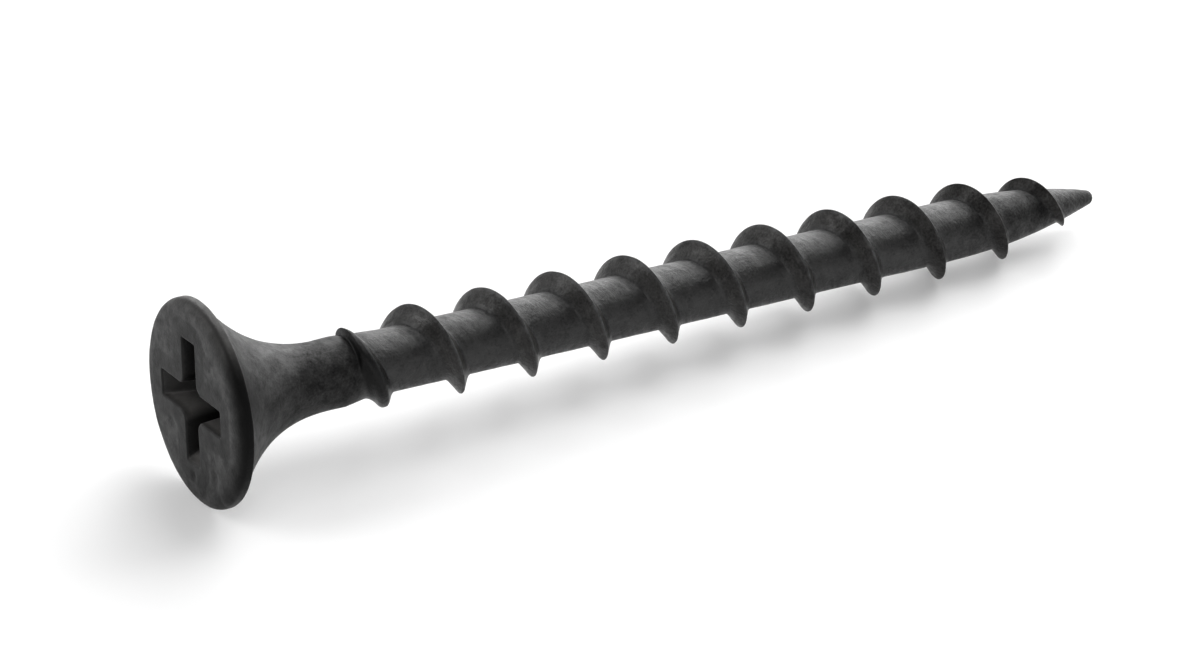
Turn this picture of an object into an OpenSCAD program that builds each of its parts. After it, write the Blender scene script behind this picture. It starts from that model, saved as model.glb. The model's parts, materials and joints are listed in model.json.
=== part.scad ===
// Coarse-thread drywall screw: bugle head, cross recess, single-start right-hand thread, ogive point.
// It lies on its side as it comes to rest, with the head rim and one thread crest on the floor.
// Millimetres. The origin is the centre of the flush face, +X runs towards the point, +Z is up.

/* [Overall] */
// Length from the flush face to the tip of the point
screw_len = 41.3; // [36:0.1:70]

/* [Head] */
// Diameter of the head at its rim
head_d = 8.16; // [7.8:0.02:10]
// Diameter of the flat that the punch left in the middle of the flush face
face_flat_d = 6.96; // [6.4:0.02:7.2]
// Radius of the crown around that flat, as an arc that falls away to the rim
face_crown_r = 2.2; // [1.6:0.1:5]
// How far off the axis the punch struck the flat and the cross, to the side
punch_shift = 0.18; // [0:0.02:0.3]
// Width of the rounded edge of the flush face, along the radius
face_edge_w = 0.12; // [0.1:0.02:0.4]
// Depth of the rounded edge of the flush face, along the axis
face_edge_h = 0.35; // [0.3:0.01:0.6]
// Height of the straight band of the rim behind the rounded edge
rim_band_h = 0.21; // [0.1:0.01:0.6]
// Depth of the bevel behind the rim band
rim_bevel_h = 0.08; // [0.04:0.01:0.3]
// Width of the bevel behind the rim band
rim_bevel_w = 0.17; // [0.05:0.01:0.4]
// Length of the trumpet-shaped underside, from the bevel to the neck
bugle_len = 4.66; // [3:0.02:7]
// How tightly the underside curves in: 0.3 is close to a cone, 0.8 is close to a shoulder
bugle_curve = 0.6; // [0.3:0.02:0.8]

/* [Cross recess] */
// Width across two opposite wings at the flush face
recess_span = 5; // [4.4:0.05:5.4]
// Thickness of a wing at the flush face
recess_wing_t = 1.05; // [0.8:0.05:1.3]
// Depth of the wings below the flush face
recess_depth = 2.4; // [1:0.05:2.7]
// Slope of the wing ends from the axis, in degrees
recess_end_slope = 26.5; // [15:0.5:27]
// Slope of the wing flanks from the axis, in degrees
recess_flank_slope = 2.5; // [0:0.5:5]
// Radius of the four inner corners at the flush face
recess_corner_r = 0.45; // [0.2:0.05:0.6]
// Depth of the pointed bottom below the wings
recess_cone_h = 0.4; // [0.1:0.05:0.6]
// Turn of the cross about the axis, in degrees from straight down
recess_turn = -8; // [-45:1:45]

/* [Neck] */
// Diameter of the smooth neck
neck_d = 2.74; // [2.5:0.02:3.2]
// Length of the neck between the underside and the step to the root
neck_len = 0.74; // [0.2:0.02:3]
// Length of the slope from the neck down to the thread root
neck_step_len = 1.45; // [0.3:0.01:2]

/* [Thread] */
// Diameter over the thread crests
thread_d = 3.87; // [3.4:0.01:4.6]
// Diameter of the thread root
root_d = 2.47; // [2.1:0.01:2.48]
// Distance from one turn to the next
pitch = 3.175; // [2.2:0.005:4]
// Distance from the flush face to the blunt start of the thread, which is cut square to the axis
thread_start = 6.27; // [5.6:0.01:9]
// Angle of the blunt start about the axis, in degrees from straight down
thread_phase = 160; // [0:1:359]
// Part of the full height to which the thread is filled out at its blunt start
start_height = 0.62; // [0.3:0.01:1]
// Turns over which the thread fills out from its blunt start to a full crest
start_turns = 1; // [0.2:0.05:2]
// Lean of a thread that isn't filled out, towards the head, at half its height
start_lean = 0.12; // [0:0.01:0.2]
// Distance from the end of the thread to the tip
thread_stop = 1.45; // [1:0.05:4]
// Turns over which the thread runs out at the point
runout_turns = 0.25; // [0.15:0.05:1]
// Length before the tip over which the thread gets lower
fade_len = 12.3; // [4:0.1:20]
// Height of the thread at the tip as a part of the full height
fade_height = 0.55; // [0.3:0.01:1]
// How late in that length the thread gets lower: 1 is evenly, 2 is mostly near the tip
fade_curve = 1.5; // [1:0.1:3]
// Width of the flat on the thread crest
crest_w = 0.07; // [0.05:0.01:0.3]
// Run of the head-side flank along the axis for each millimetre of height
lead_slope = 0.68; // [0.3:0.02:0.8]
// Run of the point-side flank along the axis for each millimetre of height
back_slope = 0.5; // [0.2:0.02:0.6]
// Extra run of the root fillet beside a full-height flank
root_fillet = 0.15; // [0.05:0.01:0.3]

/* [Point] */
// Length of the ogive point
point_len = 8.4; // [5:0.1:12]
// Fullness of the ogive: 1 is a cone, 2 a parabola
point_curve = 2.4; // [1.2:0.1:3]
// Radius of the rounded tip
tip_r = 0.24; // [0.15:0.01:0.5]

/* [Finish] */
// Colour of the phosphate coating, as red, green and blue from 0 to 1
coating = [0.16, 0.16, 0.17];

/* [Hidden] */

// Stations along each turn of the thread, and steps in each curved stretch of the outline
TURN_STEPS = 30;
EDGE_STEPS = 5;
CROWN_STEPS = 4;
BUGLE_STEPS = 14;
POINT_STEPS = 16;
CORNER_STEPS = 4;
ROUND_FN = 96;

head_r = head_d / 2;
flat_r = face_flat_d / 2;
edge_r = head_r - face_edge_w;
neck_r = neck_d / 2;
root_r = root_d / 2;
thread_h = thread_d / 2 - root_r;
bevel_r = head_r - rim_bevel_w;
rim_z = face_edge_h + rim_band_h;
bevel_z = rim_z + rim_bevel_h;
bugle_z = bevel_z + bugle_len;
neck_z = bugle_z + neck_len;
shank_z = neck_z + neck_step_len;
point_z = screw_len - point_len;

// Distance by which the crest is past the square face at the angle of the blunt start
START_AHEAD = 0.05;
helix_z = thread_start + START_AHEAD;
thread_turns = (screw_len - thread_stop - helix_z) / pitch;

// Height of the raw head above the flush face, before the punch flattens it
RAW_H = 0.1;
// How far the punch's face reaches past the rim
PUNCH_OVER = 0.1;

// How deep the ridge is sunk into the core, so that the two join
SINK = 0.1;
// How far the recess reaches above the flush face, so that it cuts the face clean
MOUTH_OVER = 0.2;
// The fillet meets the straight flank at this part of the thread height
FILLET_TOP = 0.25;
// Lowest height of the ridge at its run-out, as a part of the full height
LEAST = 0.05;
// How far the two ends of the ridge dip into the core, so that they close out of sight
END_DIP = 0.1;
// Turns over which the blunt start rises out of the core
START_RAMP = 0.02;

// Point at t on the quadratic curve from a to b that bends towards c
function bend(a, c, b, t) = (1 - t) * (1 - t) * a + 2 * t * (1 - t) * c + t * t * b;

// Radius of the core at distance z along the shank and point, without the rounded tip
function ogive_r(z) =
    let (t = max(0, (z - point_z) / point_len))
    root_r - (root_r - tip_r) * pow(min(1, t), point_curve);

// What the rounded tip takes off the radius at distance z
function tip_loss(z) =
    let (e = min(1, max(0, (screw_len - z) / tip_r)))
    tip_r * (1 - sqrt(1 - (1 - e) * (1 - e)));

function core_r(z) = ogive_r(z) - tip_loss(z);

// Half outline of the screw without its thread: radius and distance from the flush face
function face_edge() = [
    for (i = [0 : EDGE_STEPS])
        let (a = 90 * i / EDGE_STEPS)
        [edge_r + face_edge_w * sin(a), face_edge_h * (1 - cos(a))]
];

function underside() = [
    for (i = [0 : BUGLE_STEPS])
        bend([bevel_r, bevel_z], [neck_r, bugle_z - bugle_len * bugle_curve], [neck_r, bugle_z], i / BUGLE_STEPS)
];

// Steps get shorter towards the tip, where the outline turns fastest
function point_outline() = [
    for (i = [0 : POINT_STEPS - 1])
        let (z = point_z + point_len * sin(90 * i / POINT_STEPS))
        [core_r(z), z]
];

function core_outline() = concat(
    [[0, -RAW_H], [edge_r, -RAW_H]],
    face_edge(),
    [[head_r, rim_z]],
    underside(),
    [[neck_r, neck_z], [root_r, shank_z]],
    point_outline(),
    [[0, screw_len]]
);

// Half outline of what the punch leaves: a flat and a crown that falls away around it
function punched_outline() =
    let (
        reach = head_r + punch_shift + PUNCH_OVER,
        top = asin(min(1, (reach - flat_r) / face_crown_r))
    )
    concat(
        [[0, 0]],
        [
            for (i = [0 : CROWN_STEPS])
                let (a = top * i / CROWN_STEPS)
                [flat_r + face_crown_r * sin(a), face_crown_r * (1 - cos(a))]
        ],
        [[reach, screw_len + RAW_H], [0, screw_len + RAW_H]]
    );

module core() {
    intersection() {
        rotate_extrude($fn = ROUND_FN)
            polygon(core_outline());
        translate([0, punch_shift, 0])
            rotate_extrude($fn = ROUND_FN)
                polygon(punched_outline());
    }
}

// How far the thread is filled out at turn t, and its full size there as a share of the whole thread
function filled(t) = start_height + (1 - start_height) * pow(min(1, max(0, t) / start_turns), 2);
function fade(z) =
    let (t = max(0, (z - screw_len + fade_len) / fade_len))
    1 - (1 - fade_height) * pow(min(1, t), fade_curve);
function runout(t) = min(1, max(LEAST, (thread_turns - t) / runout_turns));
function end_dip(t) = t < 0 ? thread_h * start_height + END_DIP : END_DIP * (1 - runout(t));

// Section of the ridge with share s of its full size, filled out to part f of its height: run along
// the axis and height above the core. Its sides stay where they are, and the flat on top is wider
// where less of the height is filled.
function ridge_section(s, f) =
    let (
        full = thread_h * s,
        h = full * f,
        foot = FILLET_TOP * h,
        half = crest_w * s / 2,
        toe = root_fillet * s,
        lean = 2 * start_lean * (1 - f),
        sink_lead = SINK * (toe + lead_slope * foot) / foot,
        sink_back = SINK * (toe + back_slope * foot) / foot
    )
    [
        [-half - lead_slope * full - toe - sink_lead - lean, -SINK],
        [-half - lead_slope * (full - foot) - lean, foot],
        [-half - lead_slope * (full - h) - lean, h],
        [half + back_slope * (full - h) - lean, h],
        [half + back_slope * (full - foot) - lean, foot],
        [half + back_slope * full + toe + sink_back - lean, -SINK]
    ];

// Ring of ridge points at turn t: the section stands on the core, at the helix angle
function ridge_ring(t) =
    let (z = helix_z + pitch * t, a = thread_phase + 360 * t)
    [
        for (q = ridge_section(fade(z) * runout(t), filled(t)))
            let (r = core_r(z + q[0]) + q[1] - end_dip(t))
            [r * cos(a), r * sin(a), z + q[0]]
    ];

module ridge() {
    n = ceil(thread_turns * TURN_STEPS);
    m = len(ridge_section(1, 1));
    rings = concat(ridge_ring(-START_RAMP), [for (i = [0 : n]) each ridge_ring(thread_turns * i / n)]);
    last = (n + 1) * m;
    sides = [
        for (i = [0 : n], j = [0 : m - 1])
            let (
                a = i * m + j,
                b = i * m + (j + 1) % m
            )
            each [[a, b, a + m], [b, b + m, a + m]]
    ];
    start_cap = [for (j = [1 : m - 2]) [0, j + 1, j]];
    end_cap = [for (j = [1 : m - 2]) [last, last + j, last + j + 1]];
    polyhedron(points = rings, faces = concat(sides, start_cap, end_cap), convexity = 20);
}

module thread() {
    intersection() {
        ridge();
        translate([0, 0, thread_start])
            cylinder(h = screw_len, r = thread_d, $fn = ROUND_FN);
    }
}

// Quarter of the cross outline at depth d, from a wing end round the inner corner
function cross_quarter(d) =
    let (
        half_span = recess_span / 2 - d * tan(recess_end_slope),
        half_t = recess_wing_t / 2 - d * tan(recess_flank_slope),
        r = recess_corner_r * (1 - 0.3 * d / recess_depth)
    )
    concat(
        [[half_span, -half_t], [half_span, half_t]],
        [
            for (i = [0 : CORNER_STEPS])
                let (a = 90 * i / CORNER_STEPS)
                [half_t + r * (1 - sin(a)), half_t + r * (1 - cos(a))]
        ]
    );

function cross_ring(d) = [
    for (k = [0 : 3], q = cross_quarter(d))
        let (a = 90 * k)
        [q[0] * cos(a) - q[1] * sin(a), q[0] * sin(a) + q[1] * cos(a), d]
];

module recess() {
    top = cross_ring(-MOUTH_OVER);
    bottom = cross_ring(recess_depth);
    m = len(top);
    tip = [0, 0, recess_depth + recess_cone_h];
    walls = [
        for (j = [0 : m - 1])
            let (k = (j + 1) % m)
            each [[j, j + m, k], [k, j + m, k + m]]
    ];
    floor_faces = [for (j = [0 : m - 1]) [j + m, 2 * m, (j + 1) % m + m]];
    mouth = [for (j = [0 : m - 1]) [(j + 1) % m, 2 * m + 1, j]];
    translate([0, punch_shift, 0])
        rotate([0, 0, recess_turn])
            polyhedron(
                points = concat(top, bottom, [tip, [0, 0, -MOUTH_OVER]]),
                faces = concat(walls, floor_faces, mouth)
            );
}

// Distance to the first crest that faces the floor, and the number of crests that do
first_crest_z = helix_z + pitch * ((360 - thread_phase) % 360) / 360;
crest_count = floor((screw_len - thread_stop - first_crest_z) / pitch);

function crest_r(z) =
    let (t = (z - helix_z) / pitch)
    core_r(z) + thread_h * fade(z) * runout(t) * filled(t);

// Dip of the axis towards the point when the rim and a crest both touch the floor
rest_dip = min([
    for (k = [0 : crest_count])
        let (z = first_crest_z + pitch * k)
        atan((head_r - crest_r(z)) / (z - rim_z))
]);

module screw() {
    color(coating)
        rotate([0, 90 + rest_dip, 0])
            union() {
                difference() {
                    core();
                    recess();
                }
                thread();
            }
}

screw();
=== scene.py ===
# Looks of the drywall screw: one detailed mesh that stands for the CAD node, its black phosphate
# finish, a white floor, soft studio light and a camera at the photograph's viewing angle.
# Shape sizes are in millimetres in the screw's own frame: z runs along the axis from the flush
# face to the tip, x points straight down at rest and y points across. An angle about the axis is
# taken from straight down, and a turn t is counted along the thread from its start.
import json
import math

import bpy
import numpy as np
from mathutils import Matrix, Vector, noise


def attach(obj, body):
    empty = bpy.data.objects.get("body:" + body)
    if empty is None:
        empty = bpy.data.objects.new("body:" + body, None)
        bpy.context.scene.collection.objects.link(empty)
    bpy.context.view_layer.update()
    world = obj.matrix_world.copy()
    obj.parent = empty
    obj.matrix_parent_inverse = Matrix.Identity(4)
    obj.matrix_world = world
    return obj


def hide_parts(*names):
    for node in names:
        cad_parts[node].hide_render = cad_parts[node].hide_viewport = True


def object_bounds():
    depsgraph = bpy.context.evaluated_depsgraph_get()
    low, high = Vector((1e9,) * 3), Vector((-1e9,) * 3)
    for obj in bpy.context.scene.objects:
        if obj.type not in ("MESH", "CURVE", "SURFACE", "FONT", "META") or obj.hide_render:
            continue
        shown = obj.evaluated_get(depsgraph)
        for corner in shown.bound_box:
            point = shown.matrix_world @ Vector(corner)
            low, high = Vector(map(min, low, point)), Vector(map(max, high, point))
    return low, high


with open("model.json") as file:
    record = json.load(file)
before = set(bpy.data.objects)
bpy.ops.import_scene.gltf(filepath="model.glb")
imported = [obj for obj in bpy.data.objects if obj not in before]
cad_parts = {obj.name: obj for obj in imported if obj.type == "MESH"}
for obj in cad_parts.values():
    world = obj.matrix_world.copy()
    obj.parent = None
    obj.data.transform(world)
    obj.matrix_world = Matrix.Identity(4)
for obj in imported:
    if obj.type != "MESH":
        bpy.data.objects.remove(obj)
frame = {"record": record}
cad_low, cad_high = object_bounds()

MM = 0.001
TURN = 2 * math.pi
QUARTER_TURN = math.pi / 2

# Head: its punched flat circle, crowned edge, band and bevel, and the bugle, whose curve has its
# control point at BUGLE_CURVE of its length from the neck
SCREW_LEN = 41.3
HEAD_R = 4.08
FLAT_R = 3.48
EDGE_H = 0.35
RIM_BAND_H = 0.21
BEVEL_H = 0.08
BEVEL_W = 0.17
RIM_ROUND = 0.05
BUGLE_LEN = 4.66
BUGLE_CURVE = 0.6

# Cross recess: its span, wings, slopes and roundings, and the place where the punch struck
RECESS_SPAN = 5.0
WING_T = 1.05
RECESS_DEPTH = 2.4
END_SLOPE = math.radians(26.5)
FLANK_SLOPE = math.radians(2.5)
INNER_R = 0.45
INNER_TAPER = 0.3
LEAST_INNER_R = 0.02
OUTER_R = 0.07
CONE_H = 0.4
LIP_R = 0.08
FLOOR_R = 0.16
RECESS_TURN = math.radians(-8)
PUNCH_SHIFT = 0.18

# Neck, which thickens a little up to its kink, and the slanted step down to the thread's root
NECK_R = 1.362
NECK_END_R = 1.378
NECK_LEN = 0.74
STEP_LEN = 1.45
STEP_SLANT = 0.4
ROOT_R = 1.24

# Thread: the ridge, how far and where it was rolled off centre, its flanks and root fillets
THREAD_H = 0.695
THREAD_SHIFT = 0.037
SHIFT_ANGLE = math.radians(147)
PITCH = 3.175
THREAD_START = 6.32
THREAD_PHASE = math.radians(160)
CREST_W = 0.05
CREST_ROUND = 0.045
LEAD_SLOPE = 0.68
BACK_SLOPE = 0.63
LEAD_FILLET = 0.09
BACK_FILLET = 0.16

# Blunt start: the share of the full height to which it stands and what it lacks at its very
# first, the turns over which it fills out, the face across the axis that cuts it off, and how far
# it leans towards the head
START_HEIGHT = 0.66
START_DROP = 0.08
START_RISE = 0.27
START_TURNS = 1.0
START_RAMP = 0.02
START_EARLY = 0.06
START_FACE_Z = 6.4
START_FACE_W = 0.06
START_FILLET = 0.3
BLUNT_SHIFT = 0.17
BLUNT_ROUND = 0.4

# End of the thread: its distance from the tip, the turns of its run-out and its fade before that
THREAD_STOP = 1.45
RUNOUT_TURNS = 0.25
FADE_LEN = 12.3
FADE_HEIGHT = 0.55
FADE_CURVE = 1.5

# Where there is no thread, the ridge is sunk into the core by SINK. It is fully out of the core
# once its scale has reached OUT_SCALE.
SINK = 0.2
OUT_SCALE = 0.25
LEAST_BLEND = 0.001

# Point, which stands TIP_SHIFT off the axis
POINT_LEN = 8.4
POINT_CURVE = 2.4
TIP_R = 0.24
TIP_SHIFT = 0.07
TIP_BEND_LEN = 7.0

BEVEL_R = HEAD_R - BEVEL_W
RIM_Z = EDGE_H + RIM_BAND_H
BEVEL_Z = RIM_Z + BEVEL_H
BUGLE_Z = BEVEL_Z + BUGLE_LEN
NECK_Z = BUGLE_Z + NECK_LEN
POINT_Z = SCREW_LEN - POINT_LEN
THREAD_TURNS = (SCREW_LEN - THREAD_STOP - THREAD_START) / PITCH

# Mesh density: a quarter of the cross outline has END_N + CORNER_N + SIDE_N points twice over,
# and ARC_N between them, and a ring has four such quarters
END_N = 4
CORNER_N = 4
SIDE_N = 8
ARC_N = 16
SIDES = 4 * (2 * (END_N + CORNER_N + SIDE_N) + ARC_N)
ANGLES = RECESS_TURN + TURN * np.arange(SIDES) / SIDES


# Smooth versions of the larger and the smaller of two values; k is the height that is blended
def smooth_max(a, b, k):
    return np.maximum(a, b) + np.maximum(k - np.abs(a - b), 0) ** 2 / (4 * k)


def smooth_min(a, b, k):
    return -smooth_max(-a, -b, k)


# Smooth rise from 0 to 1
def smooth_step(value):
    part = np.clip(value, 0, 1)
    return part * part * (3 - 2 * part)


# Outline of the root and point, and of the whole core with its neck and rounded tip: radius at
# distance z from the flush face
def ogive_radius(z):
    t = np.clip((z - POINT_Z) / POINT_LEN, 0, 1)
    return ROOT_R - (ROOT_R - TIP_R) * t ** POINT_CURVE


def core_radius(z, angle=0.0):
    neck = NECK_R + (NECK_END_R - NECK_R) * np.clip((z - BUGLE_Z) / NECK_LEN, 0, 1)
    step_len = STEP_LEN * (1 + STEP_SLANT * np.cos(angle - SHIFT_ANGLE))
    step = (NECK_END_R - ROOT_R) * np.clip((z - NECK_Z) / step_len, 0, 1)
    edge = np.clip((SCREW_LEN - z) / TIP_R, 0, 1)
    rounding = TIP_R * (1 - np.sqrt(1 - (1 - edge) ** 2))
    return neck - step + ogive_radius(z) - ROOT_R - rounding


# How far the thread has filled out at turn t, and what is left of it near the tip
def thread_fill(t):
    drop = START_DROP * (1 - smooth_step((t + START_EARLY) / START_RISE))
    return START_HEIGHT - drop + (1 - START_HEIGHT) * np.clip(t / START_TURNS, 0, 1) ** 2


def thread_scale(t):
    z = THREAD_START + PITCH * t
    near_tip = np.clip((z - SCREW_LEN + FADE_LEN) / FADE_LEN, 0, 1)
    fade = 1 - (1 - FADE_HEIGHT) * near_tip ** FADE_CURVE
    return fade * np.clip((THREAD_TURNS - t) / RUNOUT_TURNS, 0, 1)


# Distance to the middle of the ridge at turn t: past its start it leans towards the head until
# it is full
def ridge_middle(t):
    lean = BLUNT_SHIFT * (1 - thread_fill(t)) / (1 - START_HEIGHT)
    return THREAD_START + PITCH * t - lean * smooth_step((t + START_EARLY) / START_RISE)


# Radius of the threaded part at distance run from the middle of the ridge at turn t. The ridge
# was rolled a little off centre, and its start is cut across the axis.
def threaded_radius(z, run, t):
    angle = t * TURN + THREAD_PHASE
    scale = thread_scale(t)
    off_centre = THREAD_SHIFT * scale ** 2 * np.cos(angle - SHIFT_ANGLE)
    full = THREAD_H * scale
    fill = thread_fill(t)
    started = np.clip((t + START_EARLY) / START_RAMP + 1, 0, 1)
    started = started * smooth_step((z - START_FACE_Z) / START_FACE_W)
    height = full * fill
    half = CREST_W / 2
    lead = full + (run + half) / LEAD_SLOPE
    back = full - (run - half) / BACK_SLOPE
    blend = np.clip(height, LEAST_BLEND, CREST_ROUND + BLUNT_ROUND * (1 - fill))
    ridge = smooth_min(smooth_min(lead, back, CREST_ROUND), height, blend)
    sink = SINK * (1 - np.minimum(started, np.clip(scale / OUT_SCALE, 0, 1)))
    ridge = ridge * started + off_centre * np.clip(ridge / THREAD_H, 0, 1) * started - sink
    start_fillet = START_FILLET * (1 - fill) / (1 - START_HEIGHT)
    fillet = np.where(run < 0, LEAD_FILLET + start_fillet, BACK_FILLET)
    return smooth_max(core_radius(z, angle), ogive_radius(z) + ridge, fillet)


# Radius of the neck and the thread at distance z and an angle about the axis
def surface_radius(z, angle):
    turn = (angle - THREAD_PHASE) / TURN
    nearest = turn + np.round((z - THREAD_START) / PITCH - turn)
    radii = [threaded_radius(z, z - ridge_middle(t), t) for t in (nearest - 1, nearest, nearest + 1)]
    return np.max(radii, axis=0)


# Lines of the mesh that follow the helix, as runs from the middle of the ridge at turn t. They
# crowd at the crest's two corners and in the root fillets, within these shares of the roundings.
CREST_SHARE = 0.5
FILLET_SHARE = 0.8
LEAST_SCALE = 0.35
FLANK_LINES = 3
ROOT_LINES = 9


def lines_between(first, last, count):
    return [first + (last - first) * i / count for i in range(1, count)]


def helix_runs(t):
    full = THREAD_H * np.maximum(thread_scale(t), LEAST_SCALE)
    blunt = full * (1 - thread_fill(t))
    lead_crest = -CREST_W / 2 - LEAD_SLOPE * blunt
    back_crest = CREST_W / 2 + BACK_SLOPE * blunt
    lead_toe = -CREST_W / 2 - LEAD_SLOPE * full
    back_toe = CREST_W / 2 + BACK_SLOPE * full
    a = LEAD_FILLET * LEAD_SLOPE * FILLET_SHARE
    b = BACK_FILLET * BACK_SLOPE * FILLET_SHARE
    c = CREST_ROUND * CREST_SHARE
    runs = [lead_toe - a, lead_toe - a / 3, lead_toe + a / 3, lead_toe + a]
    runs += lines_between(lead_toe + a, lead_crest - c, FLANK_LINES)
    runs += [lead_crest - c, lead_crest - c / 3, lead_crest + c / 3]
    runs += [(lead_crest + back_crest) / 2]
    runs += [back_crest - c / 3, back_crest + c / 3, back_crest + c]
    runs += lines_between(back_crest + c, back_toe - b, FLANK_LINES)
    runs += [back_toe - b, back_toe - b / 3, back_toe + b / 3, back_toe + b]
    runs += lines_between(back_toe + b, lead_toe - a + PITCH, ROOT_LINES)
    return runs


# Quarter of the cross outline at a depth, grown outward by grow: from the middle of one wing's
# end, along its side and round the inner corner, to the middle of the next wing's end
def cross_quarter(depth, grow):
    span = RECESS_SPAN / 2 - depth * math.tan(END_SLOPE) + grow
    half_t = WING_T / 2 - depth * math.tan(FLANK_SLOPE) + grow
    outer = OUTER_R + grow
    inner = max(INNER_R * (1 - INNER_TAPER * depth / RECESS_DEPTH) - grow, LEAST_INNER_R)
    end = [(span, (half_t - outer) * i / END_N) for i in range(END_N)]
    corner = [
        (span - outer * (1 - math.cos(a)), half_t - outer * (1 - math.sin(a)))
        for a in (QUARTER_TURN * i / CORNER_N for i in range(CORNER_N))
    ]
    start, stop = span - outer, half_t + inner
    side = [(start + (stop - start) * i / SIDE_N, half_t) for i in range(SIDE_N)]
    first_half = end + corner + side
    arc = [
        (half_t + inner * (1 - math.sin(a)), half_t + inner * (1 - math.cos(a)))
        for a in (QUARTER_TURN * i / ARC_N for i in range(ARC_N + 1))
    ]
    mirrored = [(v, u) for u, v in reversed(first_half[1:])]
    return first_half + arc + mirrored


# Rings of points round the axis: a cross at a depth, which may be shrunk and set at another z,
# and a circle whose radius may change with the angle
def cross_ring(depth, grow=0.0, shrink=1.0, z=None):
    quarter = np.array(cross_quarter(depth, grow)) * shrink
    points = []
    for k in range(4):
        a = RECESS_TURN + QUARTER_TURN * k
        x = quarter[:, 0] * math.cos(a) - quarter[:, 1] * math.sin(a)
        y = quarter[:, 0] * math.sin(a) + quarter[:, 1] * math.cos(a) + PUNCH_SHIFT
        points.append(np.stack([x, y, np.full(len(x), depth if z is None else z)], 1))
    return np.concatenate(points)


def circle_ring(radius, z):
    return np.stack([radius * np.cos(ANGLES), radius * np.sin(ANGLES), np.full(SIDES, z)], 1)


# Rings of the recess from its bottom up to the rounded lip. The cone shrinks the cross to nothing,
# and the corner between floor and walls is rounded, FLOOR_RISE of FLOOR_R up and FLOOR_INSET in.
CONE_SHARES = (0.1, 0.3, 0.5, 0.7, 0.86)
FLOOR_STEPS = 4
FLOOR_RISE = 0.9
FLOOR_INSET = 0.5
WALL_STEPS = 10
LIP_STEPS = 5


def recess_rings():
    rings = []
    for share in CONE_SHARES:
        rings.append(cross_ring(RECESS_DEPTH, shrink=share, z=RECESS_DEPTH + CONE_H * (1 - share)))
    for i in range(FLOOR_STEPS + 1):
        a = QUARTER_TURN * i / FLOOR_STEPS
        depth = RECESS_DEPTH - FLOOR_R * (1 - math.cos(a)) * FLOOR_RISE
        rings.append(cross_ring(depth, grow=-FLOOR_R * FLOOR_INSET * (1 - math.sin(a))))
    wall_bottom = RECESS_DEPTH - FLOOR_R
    for i in range(1, WALL_STEPS + 1):
        rings.append(cross_ring(wall_bottom + (LIP_R - wall_bottom) * i / WALL_STEPS))
    for i in range(1, LIP_STEPS + 1):
        a = QUARTER_TURN * i / LIP_STEPS
        rings.append(cross_ring(LIP_R * (1 - math.sin(a)), grow=LIP_R * (1 - math.cos(a))))
    return rings


# The punch left a flat circle off the axis
def punched_ring():
    return circle_ring(FLAT_R, 0) + np.array((0, PUNCH_SHIFT, 0))


# Rings of the flush face, which pass from the cross to the punched circle
FACE_RINGS = 24


def face_rings():
    inner, outer = cross_ring(0, grow=LIP_R), punched_ring()
    return [inner + (outer - inner) * (i / FACE_RINGS) for i in range(1, FACE_RINGS + 1)]


# From the punched circle the face falls in one curve to the rim
CROWN_STEPS = 14


def crown_rings():
    inner, outer = punched_ring(), circle_ring(HEAD_R, 0)
    low = circle_ring(HEAD_R, EDGE_H)
    rings = []
    for i in range(1, CROWN_STEPS + 1):
        t = i / CROWN_STEPS
        rings.append((1 - t) ** 2 * inner + 2 * t * (1 - t) * outer + t * t * low)
    return rings


# Rounded corner at b between the lines to a and c, as points of (radius, z)
ROUND_STEPS = 4


def rounded_corner(a, b, c, size):
    a, b, c = np.array(a), np.array(b), np.array(c)
    start = b + (a - b) / np.linalg.norm(a - b) * size
    stop = b + (c - b) / np.linalg.norm(c - b) * size
    t = np.linspace(0, 1, ROUND_STEPS + 1)[:, None]
    return [tuple(p) for p in (1 - t) ** 2 * start + 2 * t * (1 - t) * b + t ** 2 * stop]


# Outline of the head from its rim to the neck, as (radius, z)
BUGLE_STEPS = 26


def head_outline():
    control = (NECK_R, BUGLE_Z - BUGLE_LEN * BUGLE_CURVE)
    rim = rounded_corner((HEAD_R, EDGE_H), (HEAD_R, RIM_Z), (BEVEL_R, BEVEL_Z), RIM_ROUND)
    bevel = rounded_corner((HEAD_R, RIM_Z), (BEVEL_R, BEVEL_Z), control, RIM_ROUND)
    bugle = []
    for i in range(1, BUGLE_STEPS + 1):
        t = i / BUGLE_STEPS
        near, mid, far = (1 - t) ** 2, 2 * t * (1 - t), t * t
        radius = near * BEVEL_R + mid * control[0] + far * NECK_R
        bugle.append((radius, near * BEVEL_Z + mid * control[1] + far * BUGLE_Z))
    return rim + bevel + bugle


# Rings of the neck up to its kink and of the blunt first turn. From HELIX_FROM to HELIX_TO lines
# that follow the helix take over.
NECK_STEPS = 8
BLUNT_STEPS = 84
HELIX_FROM = 8.4
HELIX_TO = 40.32


def neck_rings():
    zs = [BUGLE_Z + NECK_LEN * i / NECK_STEPS for i in range(1, NECK_STEPS + 1)]
    zs += [NECK_Z + (HELIX_FROM - NECK_Z) * i / BLUNT_STEPS for i in range(1, BLUNT_STEPS + 1)]
    return [circle_ring(surface_radius(z, ANGLES), z) for z in zs]


# Outline of the bare tip past the thread, as (radius, z): a few rings up to its rounded end
BARE_RINGS = (0, 0.2, 0.4, 0.58)
TIP_STEPS = 14


def tip_outline():
    zs = [HELIX_TO + along for along in BARE_RINGS]
    zs += [SCREW_LEN - TIP_R * (1 - math.sin(QUARTER_TURN * i / TIP_STEPS)) for i in range(1, TIP_STEPS)]
    return [(float(core_radius(z)), z) for z in zs]


# How far up the ridge each point lies, from 0 on the core to 1 on a full crest
def ridge_part(points):
    z, radius = points[:, 2], np.hypot(points[:, 0], points[:, 1])
    return np.where(z > BUGLE_Z, np.clip((radius - core_radius(z)) / THREAD_H, 0, 1), 0)


# The punch burnished the face beside the recess: 1 at its lip, fading to 0 away from it, and 0 on
# any ring that reaches deeper than the lip
BURNISH_W = 0.85


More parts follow.
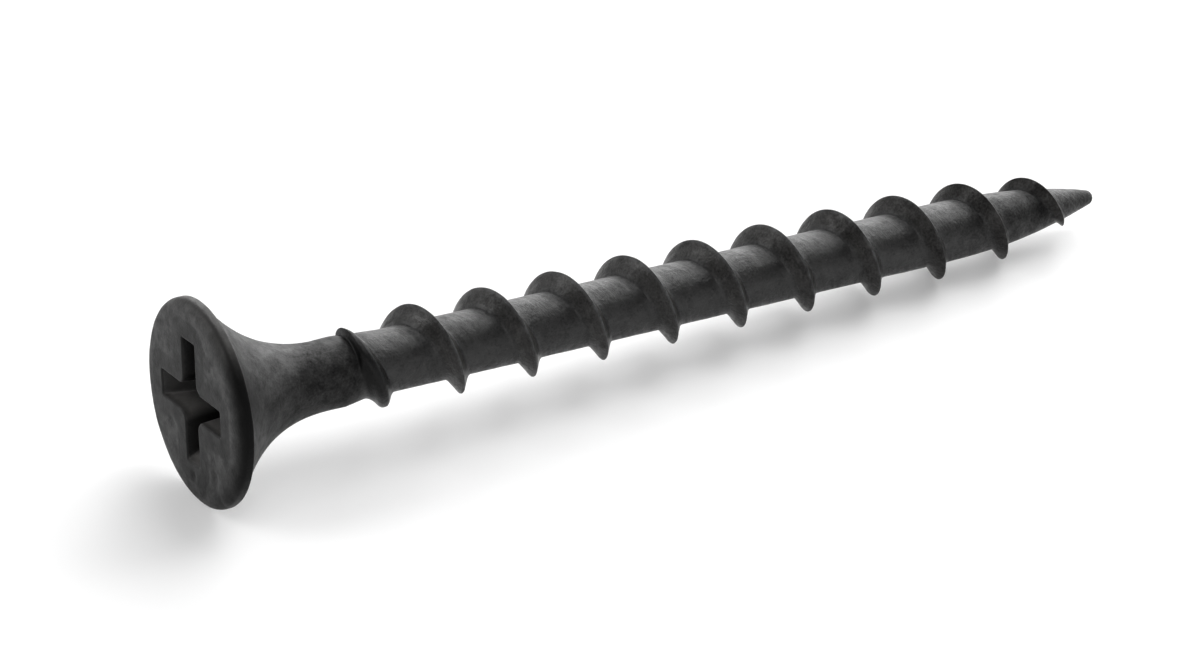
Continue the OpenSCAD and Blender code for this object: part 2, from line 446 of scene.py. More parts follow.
def burnish(points):
    if points[:, 2].max() > LIP_R:
        return np.zeros(len(points))
    x, y = points[:, 0], points[:, 1] - PUNCH_SHIFT
    a = np.abs(x * math.cos(RECESS_TURN) + y * math.sin(RECESS_TURN))
    b = np.abs(y * math.cos(RECESS_TURN) - x * math.sin(RECESS_TURN))
    far, near = np.maximum(a, b), np.minimum(a, b)
    past_end = np.maximum(far - RECESS_SPAN / 2, 0)
    past_side = np.maximum(near - WING_T / 2, 0)
    return np.clip(1 - np.hypot(past_end, past_side) / BURNISH_W, 0, 1)


# How near the head's edge each point lies, from 1 at the edge to 0 at RIM_FADE inside it
RIM_FADE = 0.85


def near_edge(points):
    radius = np.hypot(points[:, 0], points[:, 1])
    return np.clip(1 - (HEAD_R - radius) / RIM_FADE, 0, 1)


# Painted shade: one side of the band round the head is made dark where shade falls on it: 1 there, 0
# away from it
SHADED_RIM_SIDE = math.radians(-108)
SHADED_RIM_SPREAD = 0.1


def painted_rim_shade(points):
    side = smooth_step(np.cos(np.arctan2(points[:, 1], points[:, 0]) - SHADED_RIM_SIDE) + SHADED_RIM_SPREAD)
    return np.where(points[:, 2] < BEVEL_Z + RIM_FADE, near_edge(points) * side, 0)


# Painted light on the band round the head where it faces up: 1 on top, 0 at the sides
TOP_FROM = 0.6
TOP_FADE = 0.35


def on_top(points):
    up = smooth_step((-points[:, 0] / HEAD_R - TOP_FROM) / TOP_FADE)
    return np.where(points[:, 2] < BEVEL_Z, near_edge(points) * up, 0)


# Painted shadow of the head on the thread's blunt start: 1 on the ridge, fading to 0 at the distance set
# below and in the lowest part of the ridge
START_SHADE_Z = 8.2
START_SHADE_FADE = 0.5
RIDGE_FOOT = 0.125


def painted_start_shade(points, ridge):
    before = np.clip((START_SHADE_Z - points[:, 2]) / START_SHADE_FADE, 0, 1)
    return before * np.clip(ridge / RIDGE_FOOT, 0, 1)


# How far inside the recess a point lies: 0 on the face, 1 from INSIDE_DEPTH down
INSIDE_DEPTH = 0.2


def in_recess(points):
    radius = np.hypot(points[:, 0], points[:, 1] - PUNCH_SHIFT)
    reach = RECESS_SPAN / 2 + WING_T / 2 - points[:, 2] * math.tan(END_SLOPE)
    inside = (radius < reach) & (points[:, 2] < RECESS_DEPTH + CONE_H + LIP_R)
    return np.where(inside, np.clip(points[:, 2] / INSIDE_DEPTH, 0, 1), 0)


# Painted light where the surface faces up: in the recess, with the share set below less for each
# millimetre of depth, and thinly on the head's band
PAINTED_LIGHT_FALL = 0.4
RIM_PAINTED_LIGHT = 0.2


def painted_up_light(points, facing_up):
    in_cross = in_recess(points) * np.clip(facing_up, 0, 1) * np.clip(1 - PAINTED_LIGHT_FALL * points[:, 2], 0, 1)
    return np.maximum(in_cross, RIM_PAINTED_LIGHT * on_top(points))


# The whole surface as points and faces, with how raised or rubbed each point is
class Surface:
    def __init__(self):
        self.points = []
        self.faces = []
        self.wear = []

    def add(self, points, wear=0.0):
        first = len(self.points)
        self.points.extend(map(tuple, points))
        self.wear.extend(np.broadcast_to(wear, len(points)).tolist())
        return list(range(first, first + len(points)))

    def join_rings(self, ring, after):
        for i in range(SIDES):
            j = (i + 1) % SIDES
            self.faces.append((ring[i], ring[j], after[j], after[i]))

    def cap(self, point, ring, at_start):
        centre = self.add([point])[0]
        for i in range(SIDES):
            j = (i + 1) % SIDES
            self.faces.append((centre, ring[j], ring[i]) if at_start else (ring[i], ring[j], centre))

    # Two neighbouring columns of (line number, point): equal numbers are joined straight across
    def join_columns(self, left, right):
        i = j = 0
        while i < len(left) - 1 or j < len(right) - 1:
            next_left = left[i + 1][0] if i < len(left) - 1 else math.inf
            next_right = right[j + 1][0] if j < len(right) - 1 else math.inf
            a, b = left[i][1], right[j][1]
            if next_left == next_right:
                self.faces.append((a, b, right[j + 1][1], left[i + 1][1]))
                i, j = i + 1, j + 1
            elif next_left < next_right:
                self.faces.append((a, b, left[i + 1][1]))
                i += 1
            else:
                self.faces.append((a, b, right[j + 1][1]))
                j += 1


# The threaded stretch: one column of points for each angle, joined to its neighbours by line
# number, and kept EDGE_GAP clear of the rings before and after it
EDGE_GAP = 0.02


def add_thread(surface, ring_before, ring_after):
    first_turn = math.floor((HELIX_FROM - THREAD_START) / PITCH) - 1
    last_turn = math.ceil((HELIX_TO - THREAD_START) / PITCH) + 1
    columns = []
    for i, angle in enumerate(ANGLES):
        turns = np.arange(first_turn, last_turn) + (angle - THREAD_PHASE) / TURN
        runs = np.stack(helix_runs(turns), 1)
        z = ridge_middle(turns)[:, None] + runs
        t = np.broadcast_to(turns[:, None], runs.shape)
        to_next = z - ridge_middle(t + 1)
        radius = np.maximum(threaded_radius(z, runs, t), threaded_radius(z, to_next, t + 1))
        line = np.arange(first_turn, last_turn)[:, None] * runs.shape[1] + np.arange(runs.shape[1])
        keep = (z > HELIX_FROM + EDGE_GAP) & (z < HELIX_TO - EDGE_GAP)
        z, radius, line = z[keep], radius[keep], line[keep]
        points = np.stack([radius * math.cos(angle), radius * math.sin(angle), z], 1)
        numbers = surface.add(points, ridge_part(points))
        inner = list(zip(line.tolist(), numbers))
        columns.append([(-math.inf, ring_before[i])] + inner + [(math.inf, ring_after[i])])
    lines_per_turn = len(helix_runs(np.zeros(1)))
    for i in range(SIDES):
        right = columns[(i + 1) % SIDES]
        if i == SIDES - 1:
            right = [(line - lines_per_turn, number) for line, number in right]
        surface.join_columns(columns[i], right)


# Plain rings make the head, the neck and the tip, and between them the mesh lines follow the
# helix, so that the crest runs along an edge
def screw_surface():
    surface = Surface()
    rings = recess_rings() + face_rings() + crown_rings()
    rings += [circle_ring(r, z) for r, z in head_outline()] + neck_rings()
    numbers = [surface.add(ring, ridge_part(ring) + burnish(ring)) for ring in rings]
    surface.cap((0, PUNCH_SHIFT, RECESS_DEPTH + CONE_H), numbers[0], at_start=True)
    tip_rings = [surface.add(circle_ring(r, z)) for r, z in tip_outline()]
    for chain in (numbers, tip_rings):
        for ring, after in zip(chain, chain[1:]):
            surface.join_rings(ring, after)
    add_thread(surface, numbers[-1], tip_rings[0])
    surface.cap((0, 0, SCREW_LEN), tip_rings[-1], at_start=False)
    return surface


# How the screw lies: the axis as the record gives it, so that it follows the CAD
def rest_rotation():
    mount = next(m for m in frame["record"]["mounts"] if m["name"] == "thread")
    axis = Vector(mount["axis"]).normalized()
    across = Vector((0, 1, 0))
    down = across.cross(axis)
    return Matrix((down, across, axis)).transposed()


# Shallow dents in the flush face, as (x, y, half length, half width, turn, depth)
DENTS = (
    (2.13, -1.99, 0.5, 0.36, -24, 0.08),
    (1.62, 1.6, 0.55, 0.24, -68, 0.03),
    (-3.2, 0.75, 0.5, 0.3, 60, -0.03),
    (3.0, -0.2, 0.35, 0.3, 0, 0.05),
)


def face_dents(p):
    depth = 0.0
    if p[2] < EDGE_H:
        for x, y, half_len, half_wid, turn, deep in DENTS:
            a = math.radians(turn)
            u = ((p[0] - x) * math.cos(a) + (p[1] - y) * math.sin(a)) / half_len
            v = ((p[1] - y) * math.cos(a) - (p[0] - x) * math.sin(a)) / half_wid
            depth += deep * max(1 - u * u - v * v, 0) ** 2
    return depth


# Unevenness that forging and rolling leave, as a height at a point of the surface. Each kind of
# wave has its height, its number per millimetre, an offset, and how it breaks up into finer ones.
WAVES = (
    (0.012, 0.55, (3.1, 0.4, 7.7), 1.0, 2.0),
    (0.004, 2.4, (8.3, 5.1, 1.9), 0.8, 2.1),
)
WAVE_OCTAVES = 3


def unevenness(p):
    height = 0.0
    for wave_height, scale, offset, roughness, ratio in WAVES:
        wave = noise.fractal(Vector(p) * scale + Vector(offset), roughness, ratio, WAVE_OCTAVES)
        height += wave_height * wave
    return height - face_dents(p)


# The point of this screw stands a little off the axis
def bent(points):
    shift = TIP_SHIFT * smooth_step((points[:, 2] - SCREW_LEN + TIP_BEND_LEN) / TIP_BEND_LEN)
    towards = np.array((math.cos(SHIFT_ANGLE), math.sin(SHIFT_ANGLE), 0))
    return points + shift[:, None] * towards


# Adds one value or one vector for each point of the mesh
def add_attribute(mesh, name, values):
    kind, field = ("FLOAT_VECTOR", "vector") if values.ndim == 2 else ("FLOAT", "value")
    mesh.attributes.new(name, kind, "POINT").data.foreach_set(field, values.ravel())


# The mesh carries each point's place on the screw and, for the rolled finish, its place across
# the thread, so that the finish follows the screw and not the room. It also carries its zones.
STREAK_STRETCH = 0.17


def add_attributes(mesh, local, normals, wear):
    phase = TURN * local[:, 2] / PITCH - np.arctan2(local[:, 1], local[:, 0])
    roll = np.stack([np.cos(phase), np.sin(phase), local[:, 2] * STREAK_STRETCH], 1)
    add_attribute(mesh, "roll", roll)
    add_attribute(mesh, "place", local)
    add_attribute(mesh, "crest", wear)
    # Painted shade on one side of the head's band
    add_attribute(mesh, "rim", painted_rim_shade(local))
    # Painted shade inside the recess
    add_attribute(mesh, "recess", in_recess(local))
    # Painted light where the surface faces up, in the recess and on the head's band
    add_attribute(mesh, "painted_light", painted_up_light(local, normals[:, 2]))
    # Painted shadow of the head on the thread's blunt start
    add_attribute(mesh, "start", painted_start_shade(local, wear))


def make_screw():
    surface = screw_surface()
    local = bent(np.array(surface.points))
    placed = local @ np.array(rest_rotation()).T
    mesh = bpy.data.meshes.new("screw_visual")
    mesh.from_pydata((placed * MM).tolist(), [], surface.faces)
    mesh.update()
    normals = np.zeros(len(local) * 3)
    mesh.vertices.foreach_get("normal", normals)
    normals = normals.reshape(-1, 3)
    heights = np.array([unevenness(p) for p in local])
    moved = (placed + normals * heights[:, None]) * MM
    moved = np.clip(moved, np.array(cad_low), np.array(cad_high))
    mesh.vertices.foreach_set("co", moved.ravel())
    mesh.polygons.foreach_set("use_smooth", [True] * len(mesh.polygons))
    mesh.update()
    add_attributes(mesh, local, normals, np.array(surface.wear))
    screw = bpy.data.objects.new("screw_body", mesh)
    bpy.context.scene.collection.objects.link(screw)
    return screw


# Small helpers that add a node and give back its output; a value is a number or another output
def feed(tree, socket, value):
    if isinstance(value, (int, float, tuple)):
        socket.default_value = value
    else:
        tree.links.new(value, socket)


def noise_node(tree, vector, scale, detail, roughness, distortion=0.0):
    node = tree.nodes.new("ShaderNodeTexNoise")
    node.inputs["Scale"].default_value = scale
    node.inputs["Detail"].default_value = detail
    node.inputs["Roughness"].default_value = roughness
    node.inputs["Distortion"].default_value = distortion
    tree.links.new(vector, node.inputs["Vector"])
    return node.outputs["Fac"]


def range_node(tree, value, low, high, to_low=0.0, to_high=1.0):
    node = tree.nodes.new("ShaderNodeMapRange")
    for name, number in (("From Min", low), ("From Max", high), ("To Min", to_low), ("To Max", to_high)):
        node.inputs[name].default_value = number
    tree.links.new(value, node.inputs["Value"])
    return node.outputs["Result"]


def math_node(tree, operation, first, second):
    node = tree.nodes.new("ShaderNodeMath")
    node.operation = operation
    feed(tree, node.inputs[0], first)
    feed(tree, node.inputs[1], second)
    return node.outputs[0]


# A mix of two colours, whose sockets are the node's 7th and 8th, and of two plain numbers
def mix_node(tree, factor, first, second):
    node = tree.nodes.new("ShaderNodeMix")
    node.data_type = "RGBA"
    feed(tree, node.inputs[0], factor)
    feed(tree, node.inputs[6], first)
    feed(tree, node.inputs[7], second)
    return node.outputs[2]


def blend_node(tree, factor, first, second):
    node = tree.nodes.new("ShaderNodeMix")
    node.data_type = "FLOAT"
    feed(tree, node.inputs[0], factor)
    feed(tree, node.inputs[2], first)
    feed(tree, node.inputs[3], second)
    return node.outputs[0]


def attribute_node(tree, name, output="Fac"):
    node = tree.nodes.new("ShaderNodeAttribute")
    node.attribute_name = name
    return node.outputs[output]


def stretch_node(tree, vector, scales):
    node = tree.nodes.new("ShaderNodeVectorMath")
    node.operation = "MULTIPLY"
    node.inputs[1].default_value = scales
    tree.links.new(vector, node.inputs[0])
    return node.outputs[0]


# Fine and broad lines along which the metal was worked: along the axis on the drawn neck, and
# along the helix past ROLLED_TO, where the thread was rolled
ROLLED_FROM = 6.1
ROLLED_TO = 6.9
FINE_STREAKS = 24.0
BROAD_STREAKS = 3.0
STREAK_DETAIL = 3.0
STREAK_ROUGHNESS = 0.65
DRAWN_STRETCH = (1, 1, 0.15)


def streaks(tree, place, is_rolled, scale):
    along_axis = stretch_node(tree, place, DRAWN_STRETCH)
    drawn = noise_node(tree, along_axis, scale, STREAK_DETAIL, STREAK_ROUGHNESS)
    along_helix = attribute_node(tree, "roll", "Vector")
    rolled = noise_node(tree, along_helix, scale, STREAK_DETAIL, STREAK_ROUGHNESS)
    return blend_node(tree, is_rolled, drawn, rolled)


# Cloudiness of the finish, each as (waves per millimetre, detail, roughness) and, for some, a
# distortion
CLOUDS = (0.8, 5.0, 0.6, 0.6)
CALM_CLOUDS = (1.1, 3.0, 0.5, 0.2)
MOTTLE = (2.6, 4.0, 0.62, 0.3)
SMALL_PATCHES = (6.0, 3.0, 0.65, 0.2)
SPECKS = (5.5, 4.0, 0.7)
GRAIN = (12.0, 2.0, 0.6)

# Shares in which the clouds are mixed: mottle in the thread's clouds, small patches in those, and
# mottle in the calmer clouds of the head
MOTTLE_SHARE = 0.44
SMALL_SHARE = 0.2
CALM_MOTTLE_SHARE = 0.5

# Levels of the mixed clouds that count as fully dark and fully pale, and of the ridge's height
# between which its own colour sets in
CONTRAST = (0.38, 0.62)
RIDGE_EDGE = (0.05, 0.3)


def mixed_clouds(tree, place, clouds, mottle, is_rolled):
    small = noise_node(tree, place, *SMALL_PATCHES)
    thread = blend_node(tree, SMALL_SHARE, blend_node(tree, MOTTLE_SHARE, clouds, mottle), small)
    head = blend_node(tree, CALM_MOTTLE_SHARE, noise_node(tree, place, *CALM_CLOUDS), mottle)
    return blend_node(tree, is_rolled, head, thread)


# The patterns and zones that the finish is made of, each as an output of a node
class Patterns:
    def __init__(self, tree):
        place = attribute_node(tree, "place", "Vector")
        split = tree.nodes.new("ShaderNodeSeparateXYZ")
        tree.links.new(place, split.inputs[0])
        self.along = split.outputs[2]
        self.is_rolled = range_node(tree, self.along, ROLLED_FROM, ROLLED_TO)
        self.crest = attribute_node(tree, "crest")
        self.ridge = range_node(tree, self.crest, *RIDGE_EDGE)
        # Zones of painted shade, which are one side of the head's band, the thread's start and the
        # recess, and of painted light where the surface faces up
        self.rim = attribute_node(tree, "rim")
        self.start = attribute_node(tree, "start")
        self.recess = attribute_node(tree, "recess")
        self.painted_light = attribute_node(tree, "painted_light")
        self.clouds = noise_node(tree, place, *CLOUDS)
        self.mottle = noise_node(tree, place, *MOTTLE)
        self.specks = noise_node(tree, place, *SPECKS)
        self.grain = noise_node(tree, place, *GRAIN)
        self.fine = streaks(tree, place, self.is_rolled, FINE_STREAKS)
        self.broad = streaks(tree, place, self.is_rolled, BROAD_STREAKS)
        self.soft = mixed_clouds(tree, place, self.clouds, self.mottle, self.is_rolled)
        self.patches = range_node(tree, self.soft, *CONTRAST)


# Colours of the plain surface, the raised or burnished one and the painted light on faces that look up,
# each from its darkest to its palest patch, and those of specks, rubbed crests with a painted highlight,
# the painted shade on one side of the head's band and the painted shade on the thread's start and in the
# recess
PLAIN_COLOURS = ((0.0015, 0.0015, 0.0015, 1), (0.006, 0.0059, 0.0058, 1))
RIDGE_COLOURS = ((0.007, 0.0066, 0.0063, 1), (0.019, 0.0181, 0.0173, 1))
# Painted light on faces that look up, from its darkest to its palest patch
PAINTED_LIGHT_COLOURS = ((0.085, 0.082, 0.079, 1), (0.12, 0.116, 0.112, 1))
SPECK_COLOUR = (0.03, 0.029, 0.028, 1)
# Rubbed crests: wear and a painted highlight
RUBBED_HIGHLIGHT_COLOUR = (0.05, 0.051, 0.052, 1)
# Painted shade on one side of the head's band
RIM_SHADE_COLOUR = (0.005, 0.005, 0.005, 1)
# Painted shade on the thread's blunt start and in the recess
PAINTED_SHADE_COLOUR = (0.006, 0.006, 0.006, 1)

# Where specks and rubbed crests show, and how strongly at most: levels of the specks' noise, of the
# height on the ridge, and of the mottle that breaks up the rubbing. The rubbed crests are paler from
# wear and from a painted highlight.
SPECK_EDGE = (0.6, 0.72)
MOST_SPECKS = 0.55
RUBBED_HIGHLIGHT_EDGE = (0.86, 1.0)
MOST_RUBBED_HIGHLIGHT = 0.7
RUBBED_HIGHLIGHT_PATCHES = (0.35, 0.55)
LEAST_RUBBED_HIGHLIGHT = 0.25


def coat_colour(tree, pattern):
    plain = mix_node(tree, pattern.patches, *PLAIN_COLOURS)
    raised = mix_node(tree, pattern.patches, *RIDGE_COLOURS)
    colour = mix_node(tree, pattern.ridge, plain, raised)
    specks = range_node(tree, pattern.specks, *SPECK_EDGE, 0.0, MOST_SPECKS)
    colour = mix_node(tree, specks, colour, SPECK_COLOUR)
    # Rubbed crests, paler from wear and from a painted highlight
    rubbed_highlight = range_node(tree, pattern.crest, *RUBBED_HIGHLIGHT_EDGE, 0.0, MOST_RUBBED_HIGHLIGHT)
    broken = range_node(tree, pattern.mottle, *RUBBED_HIGHLIGHT_PATCHES, LEAST_RUBBED_HIGHLIGHT, 1.0)
    colour = mix_node(tree, math_node(tree, "MULTIPLY", rubbed_highlight, broken), colour, RUBBED_HIGHLIGHT_COLOUR)
    # Painted shade on one side of the head's band
    colour = mix_node(tree, pattern.rim, colour, RIM_SHADE_COLOUR)
    # Painted shade on the thread's blunt start and in the recess
    painted_shade = math_node(tree, "MAXIMUM", pattern.start, pattern.recess)
    colour = mix_node(tree, painted_shade, colour, PAINTED_SHADE_COLOUR)
    # Painted light where the surface faces up, in the recess and on the head's band
    return mix_node(tree, pattern.painted_light, colour, mix_node(tree, pattern.patches, *PAINTED_LIGHT_COLOURS))


# Where the coat lies thick it swallows light like a black metal: how far it does so by zone, with
# the distances from the flush face between which one zone passes into the next
HEAD_COAT = 0.26
NECK_COAT = 0.54
NECK_COAT_FROM = 3.0
NECK_COAT_TO = 5.0
ROOT_COAT = 0.0
POINT_COAT = 0.42
POINT_COAT_FROM = 33.0
POINT_COAT_TO = 36.0
RIDGE_COAT = 0.28
FAR_RIDGE_COAT = 0.58
FAR_RIDGE_FROM = 18.0
FAR_RIDGE_TO = 34.0
# Painted shade: the coat is made thick on one side of the head's band
RIM_SHADE_COAT = 0.92
# Painted shadow: the coat is made thick on the thread's blunt start
START_SHADE_COAT = 0.74
# Painted shade: the coat is made thick inside the recess
RECESS_SHADE_COAT = 0.85

# How far the clouds and the grain vary it, and how much of it the burnished lip has lost
HEAD_SPREAD = 0.22
THREAD_SPREAD = 0.2
GRAIN_SPREAD = 0.2
GRAIN_CONTRAST = (0.3, 0.7)
BURNISH_LOSS = 0.8
BURNISH_EDGE = (0.2, 1.0)
BURNISH_PATCHES = (0.34, 0.5)


def coat_thickness(tree, pattern):
    head = range_node(tree, pattern.along, NECK_COAT_FROM, NECK_COAT_TO, HEAD_COAT, NECK_COAT)
    root = range_node(tree, pattern.along, POINT_COAT_FROM, POINT_COAT_TO, ROOT_COAT, POINT_COAT)
    ridge = range_node(tree, pattern.along, FAR_RIDGE_FROM, FAR_RIDGE_TO, RIDGE_COAT, FAR_RIDGE_COAT)
    thick = blend_node(tree, pattern.is_rolled, head, blend_node(tree, pattern.ridge, root, ridge))
    spread = blend_node(tree, pattern.is_rolled, HEAD_SPREAD, THREAD_SPREAD)
    cloudy = range_node(tree, pattern.soft, *CONTRAST, 1.0, -1.0)
    thick = math_node(tree, "ADD", thick, math_node(tree, "MULTIPLY", cloudy, spread))
    grainy = range_node(tree, pattern.grain, *GRAIN_CONTRAST, GRAIN_SPREAD, -GRAIN_SPREAD)
    thick = math_node(tree, "ADD", thick, grainy)
    lost = range_node(tree, pattern.crest, *BURNISH_EDGE, 0.0, BURNISH_LOSS)
    lost = math_node(tree, "MULTIPLY", lost, range_node(tree, pattern.clouds, *BURNISH_PATCHES))
    thick = math_node(tree, "SUBTRACT", thick, blend_node(tree, pattern.is_rolled, lost, 0.0))
    # Painted shade on one side of the head's band
    thick = math_node(tree, "MAXIMUM", blend_node(tree, pattern.rim, thick, RIM_SHADE_COAT), 0.0)
    # Painted shadow of the head on the thread's blunt start
    thick = blend_node(tree, pattern.start, thick, START_SHADE_COAT)
    # Painted shade inside the recess
    thick = blend_node(tree, pattern.recess, thick, RECESS_SHADE_COAT)
    # No coat where light is painted on faces that look up
    return blend_node(tree, pattern.painted_light, thick, 0.0)


# Roughness of the dark and the pale patches on the thread and on the head. On the thread, the
# broad streaks of the rolling have a share in it.
THREAD_ROUGHNESS = (0.56, 0.27)
HEAD_ROUGHNESS = (0.62, 0.5)
STREAK_SHARE = 0.4


def coat_roughness(tree, pattern):
    streaked = blend_node(tree, pattern.is_rolled, pattern.soft, pattern.broad)
    sheen = blend_node(tree, STREAK_SHARE, pattern.soft, streaked)
    thread = range_node(tree, sheen, *CONTRAST, *THREAD_ROUGHNESS)
    head = range_node(tree, sheen, *CONTRAST, *HEAD_ROUGHNESS)
    return blend_node(tree, pattern.is_rolled, head, thread)


# Heights of the finish in millimetres: the grain everywhere, then the fine lines, the broad ones
# and the mottle, each on the head and neck and on the thread
GRAIN_HEIGHT = 0.008
FINE_HEIGHTS = (0.001, 0.01)
BROAD_HEIGHTS = (0.0, 0.014)
MOTTLE_HEIGHTS = (0.009, 0.04)


def coat_relief(tree, pattern):
    layers = (
        (pattern.fine, FINE_HEIGHTS),
        (pattern.broad, BROAD_HEIGHTS),
        (pattern.mottle, MOTTLE_HEIGHTS),
    )
    height = math_node(tree, "MULTIPLY", pattern.grain, GRAIN_HEIGHT)
    for layer, (on_head, on_thread) in layers:
        layer_height = blend_node(tree, pattern.is_rolled, on_head, on_thread)
        height = math_node(tree, "ADD", height, math_node(tree, "MULTIPLY", layer, layer_height))
    bump = tree.nodes.new("ShaderNodeBump")
    bump.inputs["Distance"].default_value = MM
    tree.links.new(height, bump.inputs["Height"])
    return bump.outputs["Normal"]


# Black phosphate over steel: a dark crystalline coat, cloudy with oil and dust, paler where the crests
# rub and where a highlight is painted on them. Light is painted on faces that look up, and shade on one
# side of the head's band, on the thread's start and in the recess.
SPECULAR_LEVEL = 0.43


def black_phosphate():
    material = bpy.data.materials.new("black_phosphate_finish")
    material.use_nodes = True
    tree = material.node_tree
    shader = tree.nodes["Principled BSDF"]
    shader.inputs["Specular IOR Level"].default_value = SPECULAR_LEVEL
    pattern = Patterns(tree)
    tree.links.new(coat_colour(tree, pattern), shader.inputs["Base Color"])
    tree.links.new(coat_thickness(tree, pattern), shader.inputs["Metallic"])
    tree.links.new(coat_roughness(tree, pattern), shader.inputs["Roughness"])
    tree.links.new(coat_relief(tree, pattern), shader.inputs["Normal"])
    return material


# Tells rays apart: 1 for the camera's and for those that a glossy or clear surface passes on, and
# 0 for all others
def seen_rays(tree):
    path = tree.nodes.new("ShaderNodeLightPath")
    seen = math_node(tree, "MAXIMUM", path.outputs["Is Camera Ray"], path.outputs["Is Glossy Ray"])
    return math_node(tree, "MAXIMUM", seen, path.outputs["Is Transmission Ray"])


# White card. The camera and reflections see a card that glows enough to come out white and keeps
# the shadow, and other rays find plain white card.
CARD_WHITE = 0.8
SEEN_WHITE = 0.66
CARD_GLOW = 0.25


def card_shader(tree, white):
    shader = tree.nodes.new("ShaderNodeBsdfDiffuse")
    shader.inputs["Color"].default_value = (white, white, white, 1)
    return shader.outputs[0]


def white_card():
    material = bpy.data.materials.new("white_card")
    material.use_nodes = True
    tree = material.node_tree
    tree.nodes.clear()
    glow = tree.nodes.new("ShaderNodeEmission")
    glow.inputs["Strength"].default_value = CARD_GLOW
    glowing = tree.nodes.new("ShaderNodeAddShader")
    tree.links.new(card_shader(tree, SEEN_WHITE), glowing.inputs[0])
    tree.links.new(glow.outputs[0], glowing.inputs[1])
    mix = tree.nodes.new("ShaderNodeMixShader")
    tree.links.new(seen_rays(tree), mix.inputs[0])
    tree.links.new(card_shader(tree, CARD_WHITE), mix.inputs[1])
    tree.links.new(glowing.outputs[0], mix.inputs[2])
    output = tree.nodes.new("ShaderNodeOutputMaterial")
    tree.links.new(mix.outputs[0], output.inputs["Surface"])
    return material


# Round white table that curves up into a low backdrop, in metres
STAGE_R = 1.2
STAGE_H = 0.35
STAGE_CURVE_R = 0.3
STAGE_RINGS = (0.02, 0.1, 0.3)
STAGE_SIDES = 96
STAGE_CURVE_STEPS = 12


def stage_outline():
    outline = [(r, 0) for r in STAGE_RINGS + (STAGE_R - STAGE_CURVE_R,)]
    for i in range(1, STAGE_CURVE_STEPS + 1):
        a = QUARTER_TURN * i / STAGE_CURVE_STEPS
        outline.append((STAGE_R - STAGE_CURVE_R * (1 - math.sin(a)), STAGE_CURVE_R * (1 - math.cos(a))))
    return outline + [(STAGE_R, STAGE_H)]


def make_floor():
    ground = cad_low.z
    outline = stage_outline()
    points = [(0, 0, ground)]
    faces = []
    for r, h in outline:
        angles = [TURN * i / STAGE_SIDES for i in range(STAGE_SIDES)]
        points += [(r * math.cos(a), r * math.sin(a), ground + h) for a in angles]
    for i in range(STAGE_SIDES):
        j = (i + 1) % STAGE_SIDES
        faces.append((0, 1 + i, 1 + j))
        for k in range(len(outline) - 1):
            first, after = 1 + k * STAGE_SIDES, 1 + (k + 1) * STAGE_SIDES
            faces.append((first + i, after + i, after + j, first + j))
    mesh = bpy.data.meshes.new("floor")
    mesh.from_pydata(points, [], faces)
    mesh.polygons.foreach_set("use_smooth", [True] * len(mesh.polygons))
    mesh.materials.append(white_card())
    floor = bpy.data.objects.new("floor", mesh)
    bpy.context.scene.collection.objects.link(floor)
    return floor


# Faint even light of the room
WORLD_GREY = 0.02


def make_world():
    world = bpy.data.worlds.new("plain_room")
    bpy.context.scene.world = world
    world.use_nodes = True
    background = world.node_tree.nodes["Background"]
    background.inputs["Color"].default_value = (1, 1, 1, 1)
    background.inputs["Strength"].default_value = WORLD_GREY


# Softboxes that shine on the middle of the screw from LAMP_DISTANCE metres, as (name, azimuth,
# elevation, size across and up, radiance), with angles in degrees
LAMP_DISTANCE = 0.5
SOFTBOXES = (
    ("softbox_right", 15, 42, (0.5, 0.26), 4.5),
    ("softbox_right_low", 15, 14, (0.6, 0.24), 3.0),
    ("softbox_far", 58, 26, (0.28, 0.44), 4.2),
    ("softbox_above", 10, 68, (0.26, 0.2), 4.0),
    ("softbox_near_above", 300, 66, (0.3, 0.22), 1.5),
    ("softbox_left", 160, 31, (0.26, 0.48), 3.6),
    ("softbox_front", 235, 16, (0.5, 0.24), 1.8),
    ("softbox_back", 115, 18, (0.4, 0.26), 0.8),
    ("softbox_near", 290, 16, (0.4, 0.24), 0.8),
)


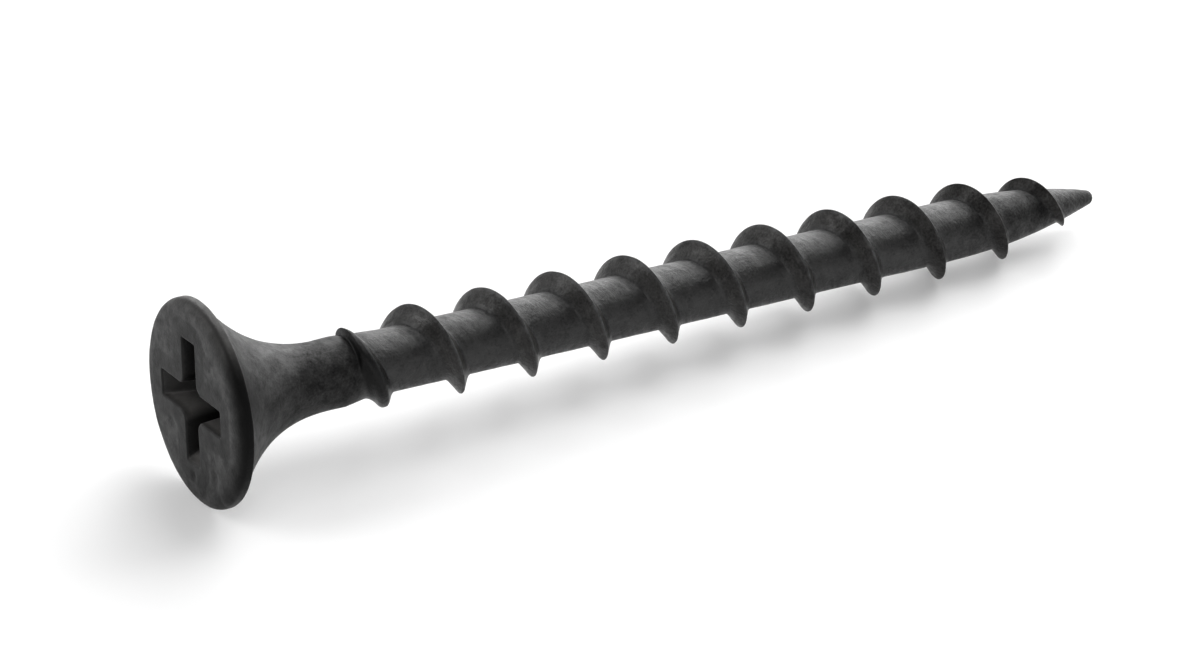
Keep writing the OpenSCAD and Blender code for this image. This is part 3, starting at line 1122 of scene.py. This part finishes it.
def add_softbox(name, azimuth, elevation, size, radiance):
    a, e = math.radians(azimuth), math.radians(elevation)
    towards = Vector((math.cos(e) * math.cos(a), math.cos(e) * math.sin(a), math.sin(e)))
    middle = (cad_low + cad_high) / 2
    lamp = bpy.data.lights.new(name, "AREA")
    lamp.shape = "RECTANGLE"
    lamp.size, lamp.size_y = size
    lamp.energy = radiance * math.pi * size[0] * size[1]
    lamp_object = bpy.data.objects.new(name, lamp)
    lamp_object.location = middle + towards * LAMP_DISTANCE
    lamp_object.rotation_euler = (-towards).to_track_quat("-Z", "Y").to_euler()
    bpy.context.scene.collection.objects.link(lamp_object)


def make_lamps():
    for softbox in SOFTBOXES:
        add_softbox(*softbox)


# The camera was fitted to a screw that dips by CAMERA_DIP, and turns with the screw as it lies.
# It stands at CAMERA_PLACE in millimetres and looks to the right of +Y by CAMERA_YAW and down.
CAMERA_DIP = math.radians(3.70985)
CAMERA_YAW = math.radians(30.0376)
CAMERA_DOWN = math.radians(30.9748)
CAMERA_PLACE = (-58.417, -131.453, 88.942)
CAMERA_LENS = 135.17
CAMERA_SENSOR = 36
CAMERA_CLIP = (0.002, 20)


def make_camera():
    level = math.cos(CAMERA_DOWN)
    look = Vector((math.sin(CAMERA_YAW) * level, math.cos(CAMERA_YAW) * level, -math.sin(CAMERA_DOWN)))
    camera = bpy.data.cameras.new("camera")
    camera.sensor_width = CAMERA_SENSOR
    camera.lens = CAMERA_LENS
    camera.clip_start, camera.clip_end = CAMERA_CLIP
    camera_object = bpy.data.objects.new("camera", camera)
    place = Matrix.Translation(Vector(CAMERA_PLACE) * MM)
    axis = rest_rotation().col[2]
    turn = Matrix.Rotation(math.atan2(-axis.z, axis.x) - CAMERA_DIP, 4, "Y")
    camera_object.matrix_world = turn @ place @ look.to_track_quat("-Z", "Y").to_matrix().to_4x4()
    bpy.context.scene.collection.objects.link(camera_object)
    bpy.context.scene.camera = camera_object


screw = make_screw()
screw.data.materials.append(black_phosphate())
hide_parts("screw")
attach(screw, "root")
floor = make_floor()
make_world()
make_lamps()
make_camera()
bpy.context.scene.view_settings.view_transform = "Standard"
